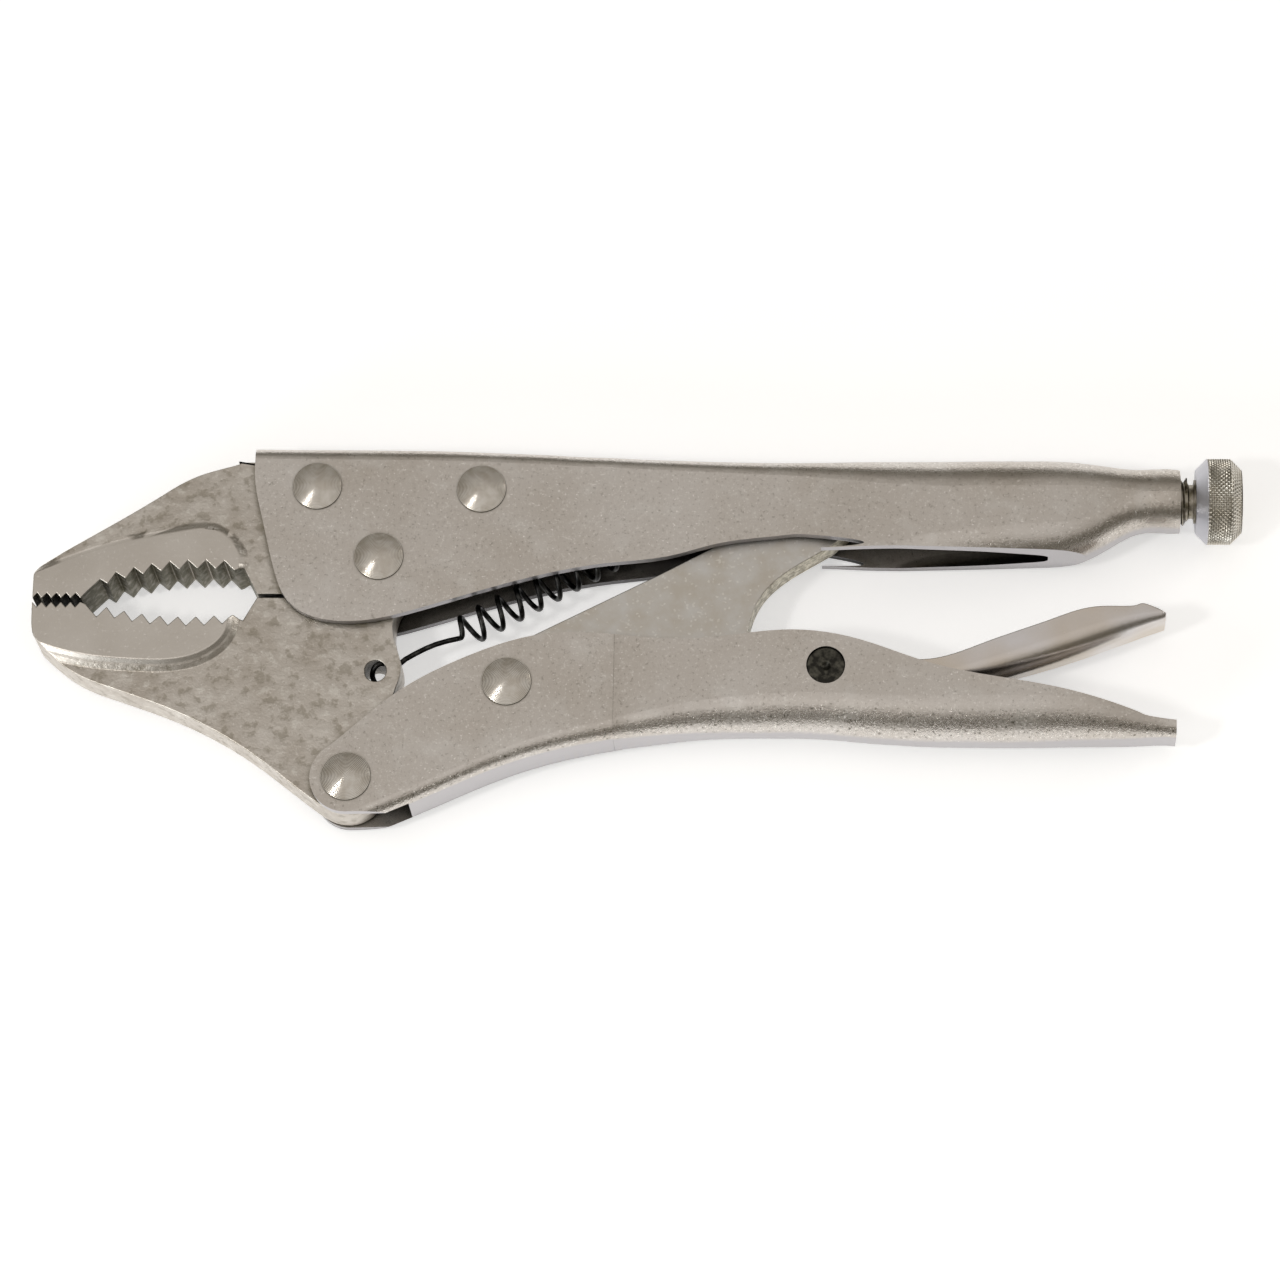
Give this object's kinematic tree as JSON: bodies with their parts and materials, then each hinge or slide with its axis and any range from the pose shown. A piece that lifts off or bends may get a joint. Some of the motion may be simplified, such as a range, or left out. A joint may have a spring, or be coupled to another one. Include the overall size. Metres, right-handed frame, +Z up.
{
  "type": "locking pliers",
  "caption": "Locking pliers with curved serrated jaws, wire cutter, pressed channel handles, toggle link, release lever and knurled adjusting screw.",
  "frame": {"origin": "middle of the tool's length and height, on the surface that it lies on", "axes": "X along the tool from the jaws to the adjusting knob, Y from the lower handle to the fixed handle, Z up through the thickness"},
  "size_m": [0.2519, 0.08, 0.018],
  "materials": {
    "nickel_sheet": "satin nickel plate on blasted pressed steel",
    "nickel_forged": "satin nickel plate on forged steel",
    "nickel_rivet": "nickel plate over spun heads",
    "nickel_link": "satin nickel plate on blanked plate",
    "nickel_lever": "bright nickel plate on pressed steel",
    "steel_thread": "cut thread, light oil",
    "knurled_steel": "diamond knurl, turned chamfers",
    "black_wire": "black oxide spring wire",
    "black_pin": "black oxide pin"
  },
  "bodies": {
    "fixed_side": {"fixed_handle": "nickel_sheet", "upper_jaw": "nickel_forged", "front_jaw_rivet": "nickel_rivet", "rear_jaw_rivet": "nickel_rivet", "jaw_pivot_rivet": "nickel_rivet", "tension_spring": "black_wire"},
    "lower_jaw": {"lower_jaw": "nickel_forged"},
    "lower_handle": {"lower_handle": "nickel_sheet", "handle_pivot_rivet": "nickel_rivet", "link_rivet": "nickel_rivet", "lever_pin": "black_pin"},
    "toggle_link": {"toggle_link": "nickel_link"},
    "release_lever": {"release_lever": "nickel_lever"},
    "adjusting_screw": {"adjusting_screw": "steel_thread"},
    "adjusting_knob": {"adjusting_knob": "knurled_steel"}
  },
  "joints": [
    {"name": "jaw_pivot", "type": "hinge", "parent": "fixed_side", "child": "lower_jaw", "pos_m": [-0.0536, 0.0154, 0.009], "axis": [0, 0, 1], "range_deg": [0, 20], "deforming": ["tension_spring"]},
    {"name": "handle_pivot", "type": "hinge", "parent": "lower_jaw", "child": "lower_handle", "pos_m": [-0.0588, -0.0325, 0.009], "axis": [0, 0, -1], "range_deg": [0, 76]},
    {"name": "link_pivot", "type": "hinge", "parent": "lower_handle", "child": "toggle_link", "pos_m": [-0.0262, -0.0119, 0.009], "axis": [0, 0, 1], "range_deg": [0, 89]},
    {"name": "lever_pivot", "type": "hinge", "parent": "lower_handle", "child": "release_lever", "pos_m": [0.0397, -0.0083, 0.009], "axis": [0, 0, -1], "range_deg": [0, 8]},
    {"name": "screw_travel", "type": "slide", "parent": "fixed_side", "child": "adjusting_screw", "axis": [1, 0, 0], "range_m": [0, 0.018]},
    {"name": "knob_turn", "type": "hinge", "parent": "adjusting_screw", "child": "adjusting_knob", "pos_m": [0.126, 0.0302, 0.009], "axis": [1, 0, 0], "range_deg": [0, 4320]}
  ],
  "couplings": [
    {"joint": "handle_pivot", "follows": "jaw_pivot", "ratio": 3.8},
    {"joint": "link_pivot", "follows": "jaw_pivot", "ratio": 4.45},
    {"joint": "knob_turn", "follows": "screw_travel", "rad_per_m": 4188.8}
  ]
}
